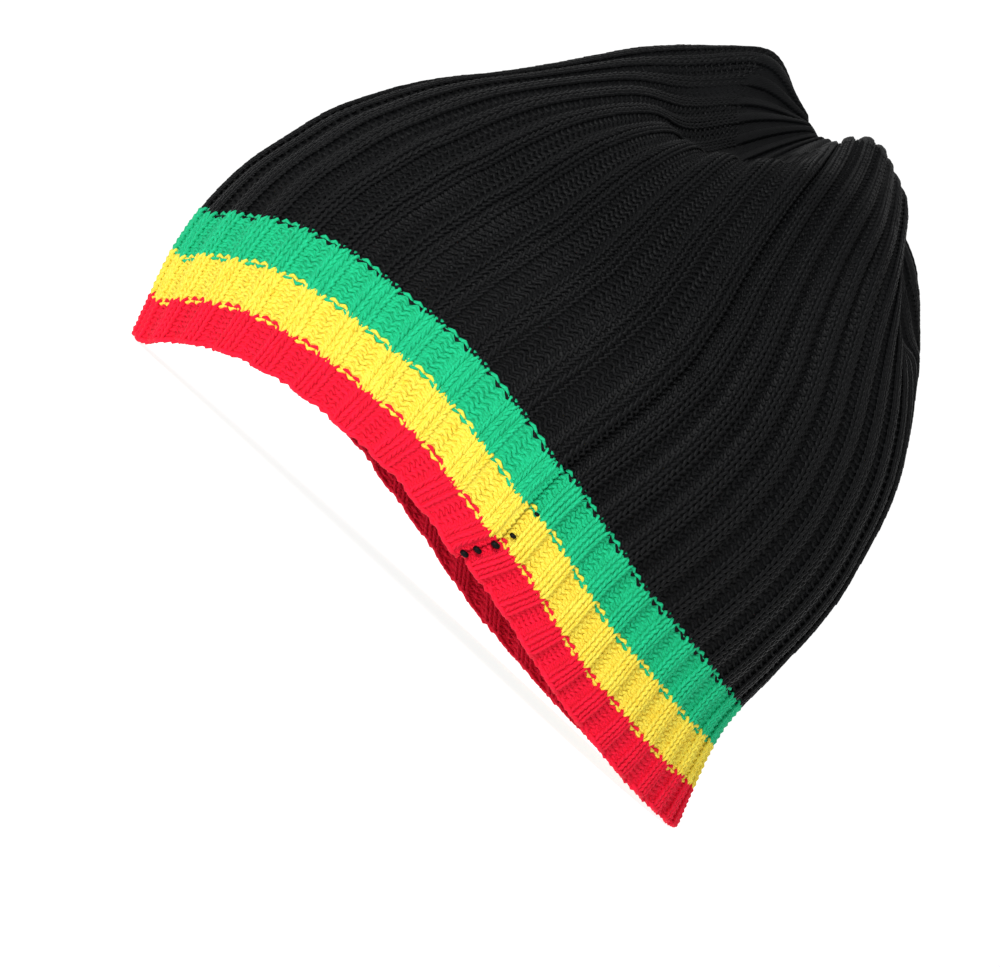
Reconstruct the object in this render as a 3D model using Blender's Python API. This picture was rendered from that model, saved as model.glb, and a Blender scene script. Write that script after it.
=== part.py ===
"""Rib-knit cap with three colour stripes at the rim and a black crown gathered at the top.

Metres, +Z up. The cap stands on its rim: front -Y, back +Y, wearer's left +X.
Each piece is one closed wall of knit: outside sheet, inside sheet and the cut edges between.
"""
import math

import bpy
import numpy as np

# Main sizes of the wall's middle sheet
LENGTH = 0.190
WIDTH = 0.156
HEIGHT = 0.160
RIM_ARCH = 0.019

# Knit
WALL = 0.0026
RIB_DEPTH = 0.0014
STRIPE_WIDTH = 0.0120
GAP = 0.0003

# Gathered top
LOBE_HEIGHT = 0.014
PLEAT_DEPTH = 0.0012
PLEATS = 13
PINCH_DEPTH = 0.004

# Rows of points up the crown
OUTSIDE_ROWS = 14
INSIDE_ROWS = 8

# Up the wall: run share, height share, length share, width share, backward share
SECTIONS = np.array([
    (0.00, 0.000, 1.000, 1.000, 0.024),
    (0.10, 0.165, 0.995, 1.030, -0.020),
    (0.20, 0.300, 1.000, 1.050, -0.023),
    (0.30, 0.402, 0.978, 1.050, -0.014),
    (0.42, 0.507, 0.930, 1.015, -0.005),
    (0.56, 0.650, 0.815, 0.920, 0.017),
    (0.70, 0.810, 0.594, 0.760, 0.042),
    (0.82, 0.867, 0.466, 0.560, 0.070),
    (0.91, 0.947, 0.310, 0.330, 0.076),
    (1.00, 1.011, 0.080, 0.090, 0.067)])

# Rim, the same on both sides: degrees from the front, share of RIM_ARCH
ARCH = np.array([
    (0, 0.00), (8, 0.00), (20, 0.30), (34, 0.68), (50, 0.93), (66, 0.98),
    (90, 0.68), (115, 0.22), (140, 0.03), (155, 0.00), (180, 0.00)])

# Lobes round the gather: degrees from the front toward the left, share of LOBE_HEIGHT
LOBES = np.array([
    (-70, 0.45), (-40, 0.57), (-10, 1.40), (20, 0.05), (50, -0.75), (80, 0.90),
    (110, 0.63), (140, -0.62), (170, 0.11), (200, 0.28), (230, 0.05), (260, 0.05)])

# Ribs counted back from the side seam: degrees from the front, rib number.
# Each rib is two raised columns and two sunk ones; one sunk column is lost in the seam.
SPREAD = np.array([
    (92.5, 0.75), (98.7, 1.75), (118.0, 4.75), (132.0, 6.75), (180.0, 12.75),
    (446.0, 42.75), (452.5, 43.50)])

# Lean of the columns: run share, degrees from their straight part
LEAN = np.array([
    (0.00, -7.0), (0.05, -3.7), (0.10, -1.8), (0.15, -0.9), (0.25, 0.0), (0.40, 0.0),
    (0.50, -2.0), (0.60, -6.0), (0.70, -11.5), (0.82, -17.0), (0.92, -21.0), (1.00, -23.0)])

COLOURS = {
    "red_stripe": (0.62, 0.006, 0.030),
    "yellow_stripe": (0.90, 0.58, 0.045),
    "green_stripe": (0.012, 0.40, 0.20),
    "crown": (0.010, 0.010, 0.011)}


def curve(x, y, at):
    """Smooth curve through the points of a table that never passes beyond them."""
    step = np.diff(y, axis=0) / np.diff(x).reshape(-1, *([1] * (y.ndim - 1)))
    before, after = step[:-1], step[1:]
    same = before * after > 0
    total = np.where(same, before + after, 1.0)
    inner = np.where(same, 2 * before * after / total, 0.0)
    slope = np.concatenate([step[:1], inner, step[-1:]])
    return hermite(x, y, slope, at)


def hermite(x, y, slope, at):
    at = np.asarray(at, float)
    i = np.clip(np.searchsorted(x, at, side="right") - 1, 0, len(x) - 2)
    width = x[i + 1] - x[i]
    t = (at - x[i]) / width
    shape = t.shape + (1,) * (y.ndim - 1)
    t = t.reshape(shape)
    width = width.reshape(shape)
    start = (2 * t ** 3 - 3 * t ** 2 + 1) * y[i] + (t ** 3 - 2 * t ** 2 + t) * width * slope[i]
    return start + (3 * t ** 2 - 2 * t ** 3) * y[i + 1] + (t ** 3 - t ** 2) * width * slope[i + 1]


def flowing(x, y, at):
    """Curve through the points with each slope taken from both neighbours."""
    inner = (y[2:] - y[:-2]) / (x[2:] - x[:-2]).reshape(-1, *([1] * (y.ndim - 1)))
    first = (y[1:2] - y[:1]) / (x[1] - x[0])
    last = (y[-1:] - y[-2:-1]) / (x[-1] - x[-2])
    return hermite(x, y, np.concatenate([first, inner, last]), at)


def eased(t):
    t = np.clip(t, 0.0, 1.0)
    return t * t * (3 - 2 * t)


def arch(theta):
    degrees = np.abs((np.degrees(theta) + 180) % 360 - 180)
    return RIM_ARCH * curve(ARCH[:, 0].astype(float), ARCH[:, 1], degrees)


def lobe(theta):
    table = np.vstack([LOBES[-2:] - (360, 0), LOBES, LOBES[:3] + (360, 0)])
    first = LOBES[0, 0]
    degrees = (np.degrees(theta) - first) % 360 + first
    return LOBE_HEIGHT * flowing(table[:, 0], table[:, 1], degrees)


def middle(theta, share):
    """Middle sheet of the wall, without ribs."""
    theta, share = np.broadcast_arrays(np.asarray(theta, float), np.asarray(share, float))
    height, length, width, back = np.moveaxis(flowing(SECTIONS[:, 0], SECTIONS[:, 1:], share), -1, 0)
    x = 0.5 * WIDTH * width * np.sin(theta)
    y = LENGTH * back - 0.5 * LENGTH * length * np.cos(theta)
    raised = arch(theta) * eased(1 - share / 0.7)
    rolled = lobe(theta) * eased((share - 0.58) / 0.27) * eased((1.0 - share) / 0.13)
    return np.stack([x, y, HEIGHT * height + raised + rolled], axis=-1)


def outward(theta, share):
    """Unit normal of the middle sheet, pointing out."""
    small = 1e-4
    low = np.clip(share - small, 0.0, 1.0)
    high = np.clip(share + small, 0.0, 1.0)
    up = middle(theta, high) - middle(theta, low)
    round_ = middle(theta + small, share) - middle(theta - small, share)
    normal = np.cross(round_, up)
    return normal / np.linalg.norm(normal, axis=-1, keepdims=True)


def lean(theta, share):
    """Turn of a column away from its straight part; at the rim it is larger toward the back."""
    degrees = curve(LEAN[:, 0], LEAN[:, 1], share)
    return np.radians(degrees * np.where(share < 0.3, 1 - 0.4 * np.cos(theta), 1.0))


def columns():
    """Rib number at the middle of each knitted column, and its angle where it runs straight."""
    number = np.arange(SPREAD[0, 1] + 0.125, SPREAD[-1, 1], 0.25)
    return number, np.radians(np.interp(number, SPREAD[:, 1], SPREAD[:, 0]))


def ribs(number, theta, share):
    """Height of the ribs and of the pleats at the gather, above the middle sheet."""
    wave = np.where(number % 1.0 < 0.5, 0.5, -0.5)
    fade = 1 - eased((share - 0.70) / 0.26)
    pleat = 0.5 * np.cos(PLEATS * theta) * eased((share - 0.76) / 0.12) * eased((1.04 - share) / 0.08)
    return RIB_DEPTH * wave * fade + PLEAT_DEPTH * pleat


def share_of_run(run):
    """Run share at a length measured up the left side from the rim."""
    shares = np.linspace(0.0, 1.0, 401)
    line = middle(np.full_like(shares, 0.5 * math.pi), shares)
    lengths = np.concatenate([[0.0], np.cumsum(np.linalg.norm(np.diff(line, axis=0), axis=1))])
    return float(np.interp(run, lengths, shares))


def ring(share, side):
    """Points of one row round the cap: side 1 outside, -1 inside."""
    number, theta = columns()
    shares = np.full(len(theta), share)
    theta = theta + lean(theta, shares)
    lift = ribs(number, theta, shares) + side * 0.5 * WALL
    points = middle(theta, shares)
    if share > 0.0:
        return points + outward(theta, shares) * lift[:, None]
    flat = outward(theta, shares) * (1.0, 1.0, 0.0)
    flat = flat / np.linalg.norm(flat, axis=1, keepdims=True)
    return points + flat * lift[:, None]


def make(name, rings, start=None, end=None):
    """Closed body from rows of points: fans to the end points, or joined last to first."""
    count = len(rings[0])
    points = [p for row in rings for p in row]
    faces = []
    pairs = [(k, k + 1) for k in range(len(rings) - 1)]
    if start is None:
        pairs.append((len(rings) - 1, 0))
    for low, high in pairs:
        for i in range(count):
            j = (i + 1) % count
            faces.append((low * count + i, low * count + j, high * count + j, high * count + i))
    if start is not None:
        points.append(start)
        centre = len(points) - 1
        for i in range(count):
            faces.append((centre, (i + 1) % count, i))
        points.append(end)
        centre = len(points) - 1
        base = (len(rings) - 1) * count
        for i in range(count):
            faces.append((centre, base + i, base + (i + 1) % count))
    mesh = bpy.data.meshes.new(name)
    mesh.from_pydata([tuple(float(c) for c in p) for p in points], [], faces)
    mesh.update()
    mesh.polygons.foreach_set("use_smooth", [True] * len(mesh.polygons))
    body = bpy.data.objects.new(name, mesh)
    bpy.context.scene.collection.objects.link(body)
    material = bpy.data.materials.new(name)
    material.use_nodes = True
    shader = material.node_tree.nodes["Principled BSDF"]
    shader.inputs["Base Color"].default_value = (*COLOURS[name], 1.0)
    shader.inputs["Roughness"].default_value = 0.9
    shader.inputs["Metallic"].default_value = 0.0
    mesh.materials.append(material)
    return body


def stripe(name, low_run, high_run):
    low = share_of_run(low_run)
    high = share_of_run(high_run)
    make(name, [ring(low, 1), ring(high, 1), ring(high, -1), ring(low, -1)])


def rows(low, count):
    """Run shares from a low edge to the gather, closer together at the top."""
    t = np.linspace(0.0, 1.0, count)
    return low + (1.0 - low) * (1.5 * t - 0.5 * t * t)


def crown(low_run):
    low = share_of_run(low_run)
    outside = [ring(s, 1) for s in rows(low, OUTSIDE_ROWS)]
    inside = [ring(s, -1) for s in rows(low, INSIDE_ROWS)][::-1]
    centre = middle(np.array([0.0, math.pi]), np.array([1.0, 1.0])).mean(axis=0)
    top = centre + (0.0, 0.0, 0.5 * WALL - PINCH_DEPTH)
    under = centre + (0.0, 0.0, -0.5 * WALL - PINCH_DEPTH)
    make("crown", inside + outside, under, top)


for old in list(bpy.data.objects):
    bpy.data.objects.remove(old)

stripe("red_stripe", 0.0, STRIPE_WIDTH)
stripe("yellow_stripe", STRIPE_WIDTH + GAP, 2 * STRIPE_WIDTH)
stripe("green_stripe", 2 * STRIPE_WIDTH + GAP, 3 * STRIPE_WIDTH)
crown(3 * STRIPE_WIDTH + GAP)
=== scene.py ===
import math

import bpy
import numpy as np
from mathutils import Matrix, Vector


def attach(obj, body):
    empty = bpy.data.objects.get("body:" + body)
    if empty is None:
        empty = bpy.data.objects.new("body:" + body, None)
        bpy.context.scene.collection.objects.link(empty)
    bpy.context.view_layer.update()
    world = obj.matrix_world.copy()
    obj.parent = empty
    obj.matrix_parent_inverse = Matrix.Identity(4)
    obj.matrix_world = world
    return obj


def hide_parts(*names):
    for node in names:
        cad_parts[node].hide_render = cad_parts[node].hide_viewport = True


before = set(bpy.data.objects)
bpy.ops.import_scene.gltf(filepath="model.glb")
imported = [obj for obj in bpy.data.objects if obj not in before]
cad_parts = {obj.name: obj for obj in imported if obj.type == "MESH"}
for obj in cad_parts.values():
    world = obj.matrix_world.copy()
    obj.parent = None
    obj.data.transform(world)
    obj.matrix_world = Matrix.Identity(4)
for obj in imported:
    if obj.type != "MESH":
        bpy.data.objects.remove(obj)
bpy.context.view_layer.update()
rng = np.random.default_rng(11)

# Middle sheet of the wall, metres: the same numbers as the solids
LENGTH = 0.190
WIDTH = 0.156
HEIGHT = 0.160
RIM_ARCH = 0.019
LOBE_HEIGHT = 0.014
PLEAT_DEPTH = 0.0012
PLEATS = 13
PINCH_DEPTH = 0.004

# Up the wall: run share, height share, length share, width share, backward share
SECTIONS = np.array([
    (0.00, 0.000, 1.000, 1.000, 0.024),
    (0.10, 0.165, 0.995, 1.030, -0.020),
    (0.20, 0.300, 1.000, 1.050, -0.023),
    (0.30, 0.402, 0.978, 1.050, -0.014),
    (0.42, 0.507, 0.930, 1.015, -0.005),
    (0.56, 0.650, 0.815, 0.920, 0.017),
    (0.70, 0.810, 0.594, 0.760, 0.042),
    (0.82, 0.867, 0.466, 0.560, 0.070),
    (0.91, 0.947, 0.310, 0.330, 0.076),
    (1.00, 1.011, 0.080, 0.090, 0.067)])

# Rim, the same on both sides: degrees from the front, share of RIM_ARCH
ARCH = np.array([
    (0, 0.00), (8, 0.00), (20, 0.30), (34, 0.68), (50, 0.93), (66, 0.98),
    (90, 0.68), (115, 0.22), (140, 0.03), (155, 0.00), (180, 0.00)])

# Lobes round the gather: degrees from the front toward the left, share of LOBE_HEIGHT
LOBES = np.array([
    (-70, 0.45), (-40, 0.57), (-10, 1.40), (20, 0.05), (50, -0.75), (80, 0.90),
    (110, 0.63), (140, -0.62), (170, 0.11), (200, 0.28), (230, 0.05), (260, 0.05)])

# Ribs counted back from the side seam: degrees from the front, rib number
SPREAD = np.array([
    (92.5, 0.75), (98.7, 1.75), (118.0, 4.75), (132.0, 6.75), (180.0, 12.75),
    (446.0, 42.75), (452.5, 43.50)])

# Lean of the columns: run share, degrees from their straight part
LEAN = np.array([
    (0.00, -7.0), (0.05, -3.7), (0.10, -1.8), (0.15, -0.9), (0.25, 0.0), (0.40, 0.0),
    (0.50, -2.0), (0.60, -6.0), (0.70, -11.5), (0.82, -17.0), (0.92, -21.0), (1.00, -23.0)])

# Side seam: degrees it is drawn forward at the rim, and how far the rows miss each other
SEAM_PULL = 2.1
SEAM_DROP = 0.0013
SEAM_RISE = 0.0003
SEAM_REACH = 0.09

# Thread spots on the seam: length up the wall, degrees behind the seam, slant, size
SEAM_SPOTS = (
    (0.0023, 0.0, 0.5, 1.1), (0.0057, 0.15, 0.4, 1.1), (0.0104, 0.3, 0.5, 1.15),
    (0.0156, 0.9, 0.3, 0.85), (0.0240, 1.45, 0.4, 0.7))
SPOT_RADIUS = 0.00066
SPOT_LIFT = 0.0012

# Knit: lengths in metres, a loop's reach in rows and its swing in columns
STRIPE = 0.0120
COURSE = STRIPE / 7
COLUMNS = 171
RIBS = 43
YARN = 0.00050
LOOP_REACH = 0.86
LOOP_SWING = 0.25
LOOP_DEPTH = 0.00048
RIB_DEPTH = 0.0015
UNEVEN = 0.00022
FINE_UNEVEN = 0.00005
FULLNESS = 0.0008

# Rim: the binding yarn, and the lowest row of loops above it
BIND_RADIUS = 0.00062
BIND_RUN = 0.00138
LOWEST_LOOPS = 0.00235
LOWEST_BACKING = 0.0011

# Thin cloth under the loops
BACKING_HALF = 0.00012

# Gather: run shares where its strips begin, the loops end and the tip begins
GATHER_START = 0.85
LOOPS_END = 0.90
TIP_START = 0.975
TIP_FOLD = 0.0007
TIP_FINE_FOLD = 0.0003
STITCH_DEPTH = 0.00036


def curve(x, y, at):
    """Smooth curve through the points of a table that never passes beyond them."""
    step = np.diff(y, axis=0) / np.diff(x).reshape(-1, *([1] * (y.ndim - 1)))
    before, after = step[:-1], step[1:]
    same = before * after > 0
    total = np.where(same, before + after, 1.0)
    inner = np.where(same, 2 * before * after / total, 0.0)
    return hermite(x, y, np.concatenate([step[:1], inner, step[-1:]]), at)


def hermite(x, y, slope, at):
    at = np.asarray(at, float)
    i = np.clip(np.searchsorted(x, at, side="right") - 1, 0, len(x) - 2)
    width = x[i + 1] - x[i]
    t = (at - x[i]) / width
    shape = t.shape + (1,) * (y.ndim - 1)
    t = t.reshape(shape)
    width = width.reshape(shape)
    start = (2 * t ** 3 - 3 * t ** 2 + 1) * y[i] + (t ** 3 - 2 * t ** 2 + t) * width * slope[i]
    return start + (3 * t ** 2 - 2 * t ** 3) * y[i + 1] + (t ** 3 - t ** 2) * width * slope[i + 1]


def flowing(x, y, at):
    """Curve through the points with each slope taken from both neighbours."""
    inner = (y[2:] - y[:-2]) / (x[2:] - x[:-2]).reshape(-1, *([1] * (y.ndim - 1)))
    first = (y[1:2] - y[:1]) / (x[1] - x[0])
    last = (y[-1:] - y[-2:-1]) / (x[-1] - x[-2])
    return hermite(x, y, np.concatenate([first, inner, last]), at)


def eased(t):
    t = np.clip(t, 0.0, 1.0)
    return t * t * (3 - 2 * t)


def arch(theta):
    degrees = np.abs((np.degrees(theta) + 180) % 360 - 180)
    return RIM_ARCH * curve(ARCH[:, 0].astype(float), ARCH[:, 1], degrees)


def lobe(theta):
    table = np.vstack([LOBES[-2:] - (360, 0), LOBES, LOBES[:3] + (360, 0)])
    first = LOBES[0, 0]
    degrees = (np.degrees(theta) - first) % 360 + first
    return LOBE_HEIGHT * flowing(table[:, 0], table[:, 1], degrees)


def middle(theta, share):
    """Middle sheet of the wall, without ribs."""
    theta, share = np.broadcast_arrays(np.asarray(theta, float), np.asarray(share, float))
    height, length, width, back = np.moveaxis(flowing(SECTIONS[:, 0], SECTIONS[:, 1:], share), -1, 0)
    x = 0.5 * WIDTH * width * np.sin(theta)
    y = LENGTH * back - 0.5 * LENGTH * length * np.cos(theta)
    raised = arch(theta) * eased(1 - share / 0.7)
    rolled = lobe(theta) * eased((share - 0.58) / 0.27) * eased((1.0 - share) / 0.13)
    return np.stack([x, y, HEIGHT * height + raised + rolled], axis=-1)


def outward(theta, share):
    """Unit normal of the middle sheet, pointing out."""
    small = 1e-4
    up = middle(theta, np.clip(share + small, 0, 1)) - middle(theta, np.clip(share - small, 0, 1))
    round_ = middle(theta + small, share) - middle(theta - small, share)
    normal = np.cross(round_, up)
    return normal / np.linalg.norm(normal, axis=-1, keepdims=True)


def lean(theta, share):
    """Turn of a column away from its straight part; at the rim it is larger toward the back."""
    degrees = curve(LEAN[:, 0], LEAN[:, 1], share)
    degrees = degrees * np.where(share < 0.3, 1 - 0.4 * np.cos(theta), 1.0)
    # At the rim the seam draws the columns beside it forward
    from_seam = (np.degrees(theta) - SPREAD[0, 0] + 180) % 360 - 180
    pull = SEAM_PULL * eased(1 - share / 0.05) * np.exp(-(from_seam / 20) ** 2)
    return np.radians(degrees - pull)


# Lengths measured up the left side from the rim, and the run share at each
SHARES = np.linspace(0.0, 1.0, 801)
LEFT_SIDE = middle(np.full_like(SHARES, 0.5 * math.pi), SHARES)
RUNS = np.concatenate([[0.0], np.cumsum(np.linalg.norm(np.diff(LEFT_SIDE, axis=0), axis=1))])
TOTAL = float(RUNS[-1])


def share_of(run):
    return np.interp(np.clip(run, 0, TOTAL), RUNS, SHARES)


def run_of(share):
    return float(np.interp(share, SHARES, RUNS))


def seam_step(column):
    """Rows drop toward the seam on its front side and start a little high behind it."""
    before = np.clip(COLUMNS - column, 0, None)
    behind = np.clip(column, 0, None)
    return -SEAM_DROP * np.exp(-before / 4.5) + SEAM_RISE * np.exp(-behind / 4.0)


def row_wave(column, run):
    """Slow unevenness of the rows, metres up the wall."""
    a = 2 * math.pi * column / COLUMNS
    waves = np.sin(5 * a + 1.3 + 40 * run) + 0.8 * np.sin(11 * a + 0.4 - 55 * run)
    return UNEVEN * (waves + 0.5 * np.sin(23 * a + 2.1 + 90 * run))


def rib_number(column):
    return SPREAD[0, 1] + column * 0.25


def is_raised(column):
    return rib_number(column) % 1.0 < 0.5


def sheet_at(column, run):
    """Angle and run share at a knitted column and a length up the wall."""
    theta = np.radians(np.interp(rib_number(column), SPREAD[:, 1], SPREAD[:, 0]))
    step = seam_step(column) * np.clip(1 - run / SEAM_REACH, 0, 1)
    share = share_of(run + step + row_wave(column, run) * np.clip(run / 0.004, 0, 1))
    return theta + lean(theta, share), share


def rib_wave(column):
    """1 on the middle of a raised pair of columns, -1 on the middle of a sunk pair."""
    c = np.cos(2 * math.pi * (rib_number(column) % 1.0 - 0.25))
    wave = np.sign(c) * np.abs(c) ** 0.55
    # The last raised column drops to the sunk one behind the seam
    end = eased((column - (COLUMNS - 0.6)) / 0.6)
    return wave * (1 - end) - end


def tightness(column):
    """How much closer the ribs stand than on the stretched front, 8.85 degrees apart."""
    number = rib_number(column)
    ahead = np.interp(number + 0.5, SPREAD[:, 1], SPREAD[:, 0])
    behind = np.interp(number - 0.5, SPREAD[:, 1], SPREAD[:, 0])
    return np.clip(8.85 / np.maximum(ahead - behind, 5.5), 0.8, 1.45)


def half_rib(column):
    return 0.5 * RIB_DEPTH * tightness(column)


def crest(share):
    """Strength of the ribs: they close up below the gather and sink into its folds."""
    return (1 + 0.6 * eased((share - 0.55) / 0.25)) * (1 - 0.75 * eased((share - 0.66) / 0.20))


def puff(share):
    """The crown's knit stands a little fuller than the solid's wall."""
    return FULLNESS * eased((share - 0.2) / 0.2) * eased((1.0 - share) / 0.04)


def pleat(theta, share):
    fade = eased((share - 0.76) / 0.12) * eased((1.04 - share) / 0.08)
    return PLEAT_DEPTH * 0.5 * np.cos(PLEATS * theta) * fade


def pinch(share):
    return PINCH_DEPTH * eased((share - 0.97) / 0.03)


def new_object(name, points, faces, material, uv=None, smooth=True):
    mesh = bpy.data.meshes.new(name)
    faces = np.asarray(faces, np.int32)
    mesh.vertices.add(len(points))
    mesh.vertices.foreach_set("co", np.asarray(points, np.float32).ravel())
    sides = faces.shape[1]
    mesh.loops.add(faces.size)
    mesh.loops.foreach_set("vertex_index", faces.ravel())
    mesh.polygons.add(len(faces))
    mesh.polygons.foreach_set("loop_start", np.arange(0, faces.size, sides, dtype=np.int32))
    mesh.polygons.foreach_set("loop_total", np.full(len(faces), sides, np.int32))
    mesh.update(calc_edges=True)
    mesh.validate()
    if smooth:
        mesh.polygons.foreach_set("use_smooth", [True] * len(mesh.polygons))
    if uv is not None:
        layer = mesh.uv_layers.new(name="yarn")
        layer.data.foreach_set("uv", np.asarray(uv, np.float32)[faces.ravel()].ravel())
    body = bpy.data.objects.new(name, mesh)
    bpy.context.scene.collection.objects.link(body)
    mesh.materials.append(material)
    return body


def joined(name, parts, material):
    """One object from parts, each with its points, yarn coordinates and faces."""
    points, uvs, faces, start = [], [], [], 0
    for part_points, part_uvs, part_faces in parts:
        points.append(part_points)
        uvs.append(part_uvs)
        faces.append(part_faces + start)
        start += len(part_points)
    return new_object(name, np.vstack(points), np.vstack(faces), material, np.vstack(uvs))


def grid_faces(rows, columns, start=0, closed=False):
    i = np.arange(rows - 1)[:, None]
    j = np.arange(columns if closed else columns - 1)[None, :]
    a = start + i * columns + j
    b = start + i * columns + (j + 1) % columns
    return np.stack([a, b, b + columns, a + columns], axis=-1).reshape(-1, 4)


def tube(points, normals, radius, sides, half=False):
    """Yarn round a line of points, or only its outer half, with millimetres along it as U."""
    tangent = np.gradient(points, axis=0)
    tangent /= np.linalg.norm(tangent, axis=1, keepdims=True)
    side = np.cross(normals, tangent)
    side /= np.linalg.norm(side, axis=1, keepdims=True)
    up = np.cross(tangent, side)
    angle = (np.arange(sides) + 0.5) * 2 * math.pi / sides
    if half:
        angle = np.radians(np.linspace(-8, 188, sides))[::-1]
    across, out = np.cos(angle)[None, :, None], np.sin(angle)[None, :, None]
    ring = side[:, None] * across + up[:, None] * out
    radius = np.broadcast_to(radius, (len(points),))
    shell = points[:, None] + ring * radius[:, None, None]
    steps = np.linalg.norm(np.diff(points, axis=0), axis=1)
    along = 1000.0 * np.concatenate([[0.0], np.cumsum(steps)])
    u = np.broadcast_to(along[:, None], (len(points), sides))
    v = np.broadcast_to((np.arange(sides) / sides)[None], (len(points), sides))
    uv = np.stack([u, v], axis=-1)
    return shell.reshape(-1, 3), uv.reshape(-1, 2), grid_faces(len(points), sides, closed=not half)


def knitted_row(run, steps, strength):
    """Line of one row of loops: column, run and lift at each point."""
    t = np.arange(COLUMNS * steps + 1) / steps
    index = np.minimum(np.floor(t).astype(int), COLUMNS - 1)
    u = t - index
    raised = is_raised(index + 0.5)
    sign = np.where(raised, 1.0, -1.0)
    # Where a raised column meets a sunk one, the yarn passes flat between them
    turns = np.where(u < 0.25, is_raised(index - 0.5) != raised,
                     np.where(u > 0.75, is_raised(index + 1.5) != raised, False))
    near = np.minimum(np.where(u < 0.5, u, 1 - u), 0.25)
    flat = np.where(turns, np.cos(2 * math.pi * near) ** 2, 0.0)
    jitter = rng.normal(0, 1, (COLUMNS + 1, 4))
    mixed = jitter[index] * (1 - u)[:, None] + jitter[index + 1] * u[:, None]
    column = t + LOOP_SWING * np.sin(4 * math.pi * u) + 0.02 * mixed[:, 1]
    reach = -LOOP_REACH * COURSE * np.cos(2 * math.pi * u) * (1 + 0.05 * mixed[:, 0])
    lift = half_rib(t) * rib_wave(t) * strength
    lift += sign * LOOP_DEPTH * (flat - np.cos(4 * math.pi * u))
    return column, run + reach + FINE_UNEVEN * mixed[:, 2], lift + FINE_UNEVEN * mixed[:, 3]


def knitted_band(name, runs, material, sides=5, steps=8, half=False):
    """Rows of loops, one yarn to a row; the last rows sink under the gather's strips."""
    parts = []
    for run in runs:
        level = float(np.interp(run, RUNS, SHARES))
        thinner = 1 - 0.12 * float(eased((level - 0.55) / 0.35))
        sink = 0.0012 * float(eased((level - 0.875) / 0.025))
        column, up, lift = knitted_row(run, steps, float(crest(level)))
        theta, share = sheet_at(np.clip(column, 0, COLUMNS), up)
        normal = outward(theta, share)
        lift = lift + puff(share) + pleat(theta, share) - sink
        line = middle(theta, share) + normal * lift[:, None]
        points, uv, faces = tube(line, normal, YARN * thinner, sides, half)
        parts.append((points, uv + (rng.random() * 7, 0), faces))
    return joined(name, parts, material)


def backing(name, low, high, rows, material):
    """Thin cloth inside the loops, which closes the gaps between them."""
    column = np.linspace(0, COLUMNS, COLUMNS * 2 + 1)
    c, r = np.meshgrid(column, np.linspace(low, high, rows))
    theta, share = sheet_at(c, r)
    normal = outward(theta, share)
    uv = np.stack([c * 3, r * 1000], axis=-1).reshape(-1, 2)
    outside = grid_faces(rows, len(column))
    parts = []
    for half_wall, faces in ((BACKING_HALF, outside), (-BACKING_HALF, outside[:, ::-1])):
        lift = half_rib(c) * rib_wave(c) + half_wall
        points = middle(theta, share) + normal * lift[..., None]
        parts.append((points.reshape(-1, 3), uv, faces))
    return joined(name, parts, material)


def rim_edge(name, material):
    """Row of yarn that binds the rim."""
    t = np.arange(COLUMNS * 6 + 1) / 6
    run = BIND_RUN - 0.00030 * rib_wave(t) + 0.00010 * np.cos(2 * math.pi * t)
    lift = half_rib(t) * rib_wave(t) + 0.0002 * np.sin(2 * math.pi * t)
    theta, share = sheet_at(t, run)
    normal = outward(theta, share)
    line = middle(theta, share) + normal * lift[:, None]
    return joined(name, [tube(line, normal, BIND_RADIUS, 7)], material)


def strip_points(rib, raised):
    """First column and width of a strip in columns, and its points across it."""
    if raised:
        inner = np.array([0.0, 0.13, 0.31, 0.5, 0.69, 0.87])
        return 4 * rib + 1, 2, np.concatenate([[-0.17], inner, inner + 1, [2.0, 2.17]])
    inner = np.array([0.0, 0.25, 0.5, 0.75])
    if rib == 0:
        # Only one sunk column is left behind the seam
        return 0, 1, np.concatenate([[-0.1], inner, [1.0, 1.1]])
    return 4 * rib - 1, 2, np.concatenate([[-0.1], inner, inner + 1, [2.0, 2.1]])


def raised_strip(across, in_column, column, share, stitch):
    """Lift of two raised columns: a rounded pair of plaits with sunk edges."""
    close = eased((share - 0.45) / 0.45)
    centre = np.where(np.abs(in_column - 0.5) < 0.01, 0.25, 1.0)
    side = np.where((in_column < 0.02) | (in_column > 0.98), 0.35, 1.0)
    stitches = STITCH_DEPTH * (1 - 0.55 * close) * stitch * centre * side
    bulge = 0.00030 * np.cos(math.pi * (across - 1) / 2.3)
    lift = half_rib(column) * crest(share) + 0.00042 + bulge + stitches
    lift = np.where((across < -0.01) | (across > 2.01), -0.0010, lift)
    rounded = (np.abs(across) < 0.01) | (np.abs(across - 2) < 0.01)
    return np.where(rounded, lift - 0.00055, lift)


def sunk_strip(in_column, column, share, stitch):
    """Lift of the sunk columns: bars of yarn across each of them."""
    close = eased((share - 0.45) / 0.45)
    side = np.where((in_column < 0.02) | (in_column > 0.98), 0.9, 0.65)
    bars = np.where(np.abs(in_column - 0.5) < 0.01, 1.0, side)
    stitches = STITCH_DEPTH * (1 - 0.4 * close) * stitch * bars
    return -half_rib(column) * crest(share) + 0.00035 + stitches - 0.0003 * close


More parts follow.
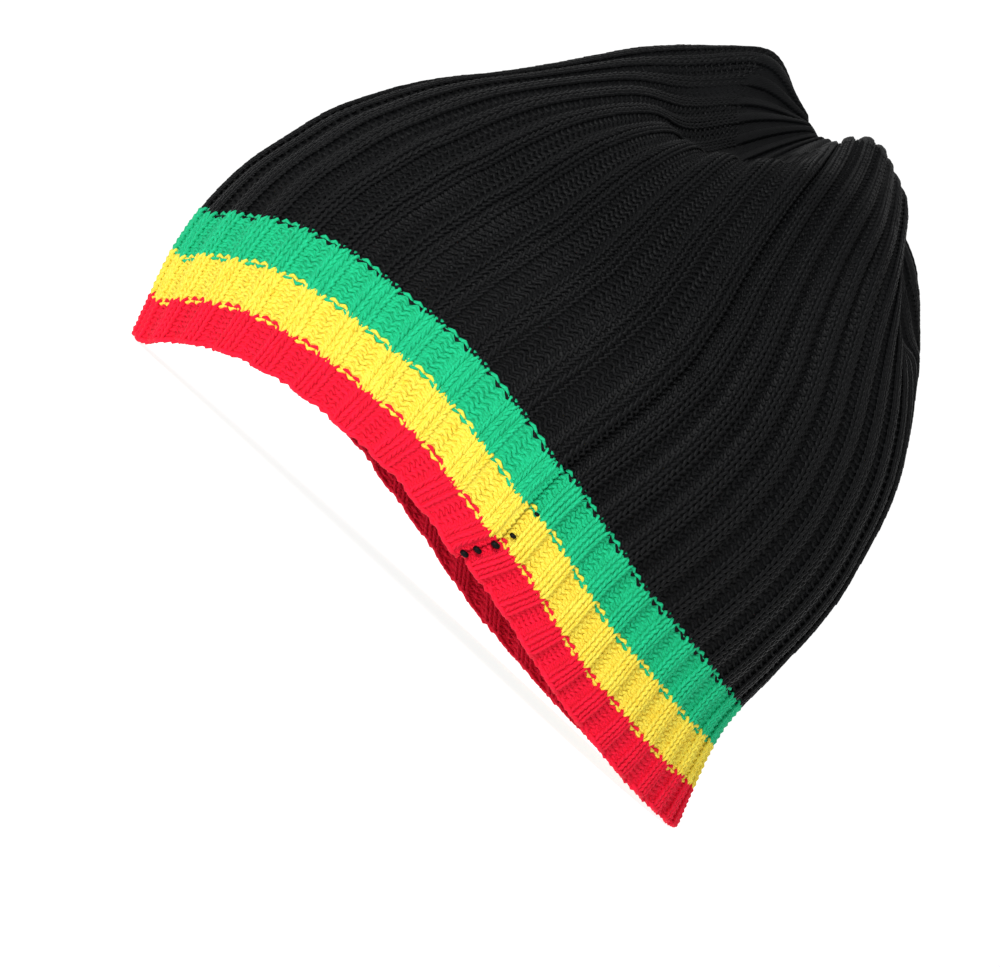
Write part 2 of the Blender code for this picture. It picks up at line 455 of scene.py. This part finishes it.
def crown_gather(name, material):
    """Raised and sunk strips that run together into the gather."""
    low = run_of(GATHER_START)
    rows = np.arange(2 * int((TOTAL - low) / COURSE) + 1)
    stitch_of_row = np.array([0.15, 1.0])[rows % 2] - 0.6
    parts = []
    for rib in range(RIBS):
        for raised in (False, True):
            first, wide, u = strip_points(rib, raised)
            column, row = np.meshgrid(first + u, rows / 2)
            across = np.broadcast_to(u, column.shape)
            stitch = np.broadcast_to(stitch_of_row[:, None], column.shape)
            in_column = across - np.floor(np.clip(across, 0, wide - 1e-6))
            if raised:
                shear = 0.55 * np.abs(2 * in_column - 1)
            else:
                shear = 0.30 * np.cos(2 * math.pi * (in_column - 0.5))
            run = low + (row + shear) * COURSE
            if raised:
                lift = raised_strip(across, in_column, column, share_of(run), stitch)
            else:
                lift = sunk_strip(in_column, column, share_of(run), stitch)
            theta, share = sheet_at(column, run)
            emerging = 0.0014 * (1 - eased((share - 0.855) / 0.035))
            diving = 0.0012 * eased((share - TIP_START) / 0.02)
            shrink = 1 - 0.35 * eased((share - 0.85) / 0.15)
            lift = (lift + pleat(theta, share) - emerging) * shrink + puff(share) - diving
            points = middle(theta, share) + outward(theta, share) * lift[..., None]
            points[..., 2] -= pinch(share)
            uv = np.stack([(row + shear) * 1.7, across], axis=-1)
            parts.append((points.reshape(-1, 3), uv.reshape(-1, 2), grid_faces(len(rows), len(u))))
    return joined(name, parts, material)


def seam_thread(name, material):
    """Spots of dark thread that show along the side seam."""
    s = np.linspace(-1, 1, 9)
    parts = []
    for run, turned, slant, size in SEAM_SPOTS:
        straight = np.radians(SPREAD[0, 0] + turned + 0.50 * s * size)
        share = np.interp(run + 0.0005 * slant * s, RUNS, SHARES)
        theta = straight + lean(straight, share)
        normal = outward(theta, share)
        line = middle(theta, share) + normal * (SPOT_LIFT - 0.0009 * s ** 2)[:, None]
        radius = SPOT_RADIUS * size * np.sqrt(np.clip(1 - s ** 4, 0.02, 1))
        parts.append(tube(line, normal, radius, 8))
    return joined(name, parts, material)


def crown_inside(name, material):
    """Inner face of the crown, just under its loops and deeper under the gather."""
    columns = np.linspace(0, COLUMNS, COLUMNS * 2 + 1)
    runs = np.linspace(3 * STRIPE, TOTAL, 70)
    column, run = np.meshgrid(columns, runs)
    theta, share = sheet_at(column, run)
    lift = puff(share) + half_rib(column) * rib_wave(column) * crest(share) - 0.00015
    lift += 0.00030 * eased((share - 0.50) / 0.25) - 0.0011 * eased((share - 0.865) / 0.05)
    points = middle(theta, share) + outward(theta, share) * lift[..., None]
    points[..., 2] -= pinch(share)
    uv = np.stack([run * 1000, column], axis=-1)
    faces = grid_faces(len(runs), len(columns))[:, ::-1]
    return new_object(name, points.reshape(-1, 3), faces, material, uv.reshape(-1, 2))


def crown_tip(name, material):
    """Drawn-in middle of the gather, closed by small pleats."""
    around = np.linspace(0, 2 * math.pi, 241)
    inward = np.linspace(0, 1, 12)
    angle, depth = np.meshgrid(around, inward)
    edge = middle(angle, np.full_like(angle, TIP_START))
    centre = middle(np.array([0.0, math.pi]), np.array([1.0, 1.0])).mean(axis=0) - (0, 0, PINCH_DEPTH)
    points = edge + (centre - edge) * np.stack([depth, depth, eased(depth * 1.25)], axis=-1)
    swell = np.sin(math.pi * np.clip(depth, 0, 1)) ** 0.7
    points[..., 2] += TIP_FOLD * np.cos(PLEATS * angle) * swell
    points[..., 2] += TIP_FINE_FOLD * np.cos(3 * PLEATS * angle) * (1 - depth)
    uv = np.stack([depth * 9, angle * 8], axis=-1)
    faces = grid_faces(len(inward), len(around))
    return new_object(name, points.reshape(-1, 3), faces, material, uv.reshape(-1, 2))


def maths(tree, operation, *inputs):
    """Output of a maths node whose inputs are numbers or other nodes' outputs."""
    node = tree.nodes.new("ShaderNodeMath")
    node.operation = operation
    for socket, value in zip(node.inputs, inputs):
        if isinstance(value, float):
            socket.default_value = value
        else:
            tree.links.new(value, socket)
    return node.outputs[0]


def noise(tree, where, scale, detail):
    node = tree.nodes.new("ShaderNodeTexNoise")
    node.inputs["Scale"].default_value = scale
    node.inputs["Detail"].default_value = detail
    tree.links.new(where, node.inputs["Vector"])
    return node.outputs["Fac"]


def yarn_material(name, dark, bright, sheen=0.04, roughness=0.78, specular=0.25):
    """Soft two-ply yarn: twisted plies, fine fibres, uneven colour, and painted shade between the
    plies.
    """
    material = bpy.data.materials.new(name)
    material.use_nodes = True
    tree = material.node_tree
    shader = tree.nodes["Principled BSDF"]
    shader.inputs["Roughness"].default_value = roughness
    shader.inputs["Sheen Weight"].default_value = sheen
    shader.inputs["Sheen Roughness"].default_value = 0.5
    shader.inputs["Sheen Tint"].default_value = (*[0.25 + 0.75 * c for c in bright], 1.0)
    shader.inputs["Specular IOR Level"].default_value = specular
    uv = tree.nodes.new("ShaderNodeUVMap")
    uv.uv_map = "yarn"
    split = tree.nodes.new("ShaderNodeSeparateXYZ")
    tree.links.new(uv.outputs["UV"], split.inputs[0])
    where = tree.nodes.new("ShaderNodeTexCoord").outputs["Object"]
    # Two plies, one turn in 1.15 mm of yarn
    round_yarn = maths(tree, "MULTIPLY", split.outputs["Y"], 4 * math.pi)
    phase = maths(tree, "MULTIPLY_ADD", split.outputs["X"], 2 * math.pi / 1.15, round_yarn)
    ply = maths(tree, "SINE", phase)
    fibres = maths(tree, "MULTIPLY", noise(tree, where, 2600.0, 3.0), 0.5)
    bump = tree.nodes.new("ShaderNodeBump")
    bump.inputs["Strength"].default_value = 0.55
    bump.inputs["Distance"].default_value = 0.00012
    tree.links.new(maths(tree, "MULTIPLY_ADD", ply, 0.35, fibres), bump.inputs["Height"])
    tree.links.new(bump.outputs["Normal"], shader.inputs["Normal"])
    mix = tree.nodes.new("ShaderNodeMix")
    mix.data_type = "RGBA"
    mix.inputs["A"].default_value = (*dark, 1.0)
    mix.inputs["B"].default_value = (*bright, 1.0)
    # Colour: painted shade, darker in the grooves between the plies and lighter on their crests,
    # mixed with tone that differs at random
    level = maths(tree, "MULTIPLY_ADD", ply, 0.22, noise(tree, where, 420.0, 2.0))
    tree.links.new(level, mix.inputs["Factor"])
    tree.links.new(mix.outputs["Result"], shader.inputs["Base Color"])
    return material


def dress(piece, node):
    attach(piece, "root")
    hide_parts(node)


# Dark and bright tone of each yarn: the dark one is painted shade in the grooves between the plies,
# and both also vary at random
red = yarn_material("red_yarn", (0.62, 0.0015, 0.017), (0.86, 0.003, 0.040))
yellow = yarn_material("yellow_yarn", (0.76, 0.52, 0.024), (0.86, 0.77, 0.100))
green = yarn_material("green_yarn", (0.003, 0.34, 0.140), (0.007, 0.53, 0.242))
black = yarn_material("black_yarn", (0.0012, 0.0013, 0.0015), (0.0040, 0.0043, 0.0048),
                      sheen=0.006, roughness=0.48, specular=0.095)

# Rows of loops, from the rim up
rows_of_stripe = COURSE * (np.arange(7) + 0.5)
red_runs = np.linspace(LOWEST_LOOPS, STRIPE - 0.5 * COURSE, 7)
black_runs = np.arange(3 * STRIPE + 0.5 * COURSE, run_of(LOOPS_END), COURSE)
dress(knitted_band("red_loops", red_runs, red), "red_stripe")
dress(knitted_band("yellow_loops", STRIPE + rows_of_stripe, yellow), "yellow_stripe")
dress(knitted_band("green_loops", 2 * STRIPE + rows_of_stripe, green), "green_stripe")
for k, runs in enumerate(np.array_split(black_runs, 3)):
    loops = knitted_band("crown_loops_%d" % (k + 1), runs, black, sides=4, steps=6, half=True)
    dress(loops, "crown")

# Cloth under the stripes' loops
dress(backing("red_backing", LOWEST_BACKING, STRIPE, 9, red), "red_stripe")
dress(backing("yellow_backing", STRIPE, 2 * STRIPE, 8, yellow), "yellow_stripe")
dress(backing("green_backing", 2 * STRIPE, 3 * STRIPE, 8, green), "green_stripe")

# Rim, gather, seam and inner face
dress(rim_edge("rim_edge", red), "red_stripe")
dress(crown_gather("crown_gather", black), "crown")
dress(seam_thread("seam_thread", black), "red_stripe")
dress(crown_inside("crown_inside", black), "crown")
dress(crown_tip("crown_tip", black), "crown")

# White floor
FLOOR_HALF = 6.0
white = bpy.data.materials.new("floor_white")
white.use_nodes = True
shader = white.node_tree.nodes["Principled BSDF"]
shader.inputs["Base Color"].default_value = (0.55, 0.55, 0.55, 1.0)
shader.inputs["Roughness"].default_value = 0.9
shader.inputs["Emission Color"].default_value = (1.0, 1.0, 1.0, 1.0)
shader.inputs["Emission Strength"].default_value = 0.90
corners = [(-FLOOR_HALF, -FLOOR_HALF, 0), (FLOOR_HALF, -FLOOR_HALF, 0),
           (FLOOR_HALF, FLOOR_HALF, 0), (-FLOOR_HALF, FLOOR_HALF, 0)]
floor = new_object("floor", corners, [(0, 1, 2, 3)], white, smooth=False)

# Even white surroundings, brighter where the camera sees them
world = bpy.data.worlds.new("studio")
bpy.context.scene.world = world
world.use_nodes = True
tree = world.node_tree
sky = tree.nodes["Background"]
sky.inputs["Color"].default_value = (1.0, 1.0, 1.0, 1.0)
sky.inputs["Strength"].default_value = 0.62
seen = tree.nodes.new("ShaderNodeBackground")
seen.inputs["Color"].default_value = (1.0, 1.0, 1.0, 1.0)
seen.inputs["Strength"].default_value = 1.05
ray = tree.nodes.new("ShaderNodeLightPath")
pick = tree.nodes.new("ShaderNodeMixShader")
tree.links.new(ray.outputs["Is Camera Ray"], pick.inputs[0])
tree.links.new(sky.outputs[0], pick.inputs[1])
tree.links.new(seen.outputs[0], pick.inputs[2])
tree.links.new(pick.outputs[0], tree.nodes["World Output"].inputs["Surface"])
bpy.context.scene.view_settings.view_transform = "Standard"

# Camera at the photograph's angle: placed round the cap, then turned, raised and rolled
AZIMUTH = math.radians(78.82)
DISTANCE = 0.7123
RISE = 0.0213
YAW = math.radians(0.385)
PITCH = math.radians(1.19)
ROLL = math.radians(42.56)
LENS_MM = 97.98
SENSOR_MM = 36.0
toward = Vector((-math.sin(AZIMUTH), math.cos(AZIMUTH), 0.0))
up = Vector((0.0, 0.0, 1.0))
right = toward.cross(up)
turned = toward * math.cos(YAW) + right * math.sin(YAW)
level_right = right * math.cos(YAW) - toward * math.sin(YAW)
view = turned * math.cos(PITCH) + up * math.sin(PITCH)
view_up = up * math.cos(PITCH) - turned * math.sin(PITCH)
rolled_right = level_right * math.cos(ROLL) + view_up * math.sin(ROLL)
rolled_up = view_up * math.cos(ROLL) - level_right * math.sin(ROLL)
lens = bpy.data.cameras.new("camera")
lens.sensor_width = SENSOR_MM
lens.sensor_fit = "HORIZONTAL"
lens.lens = LENS_MM
lens.clip_start = 0.01
lens.clip_end = 50.0
camera = bpy.data.objects.new("camera", lens)
spot = Vector((DISTANCE * math.sin(AZIMUTH), -DISTANCE * math.cos(AZIMUTH), RISE))
turn = Matrix((rolled_right, rolled_up, -view)).transposed()
camera.matrix_world = Matrix.Translation(spot) @ turn.to_4x4()
bpy.context.scene.collection.objects.link(camera)
bpy.context.scene.camera = camera

# Key light, left of the camera and above it, aimed at the middle of the cap
key = bpy.data.lights.new("key", "AREA")
key.shape = "SQUARE"
key.size = 0.25
key.energy = 3.7
lamp = bpy.data.objects.new("key", key)
lamp.location = spot + level_right * -0.24 + up * 0.28
aim = Vector((0.0, 0.0, 0.08)) - lamp.location
lamp.rotation_euler = aim.to_track_quat("-Z", "Y").to_euler()
bpy.context.scene.collection.objects.link(lamp)
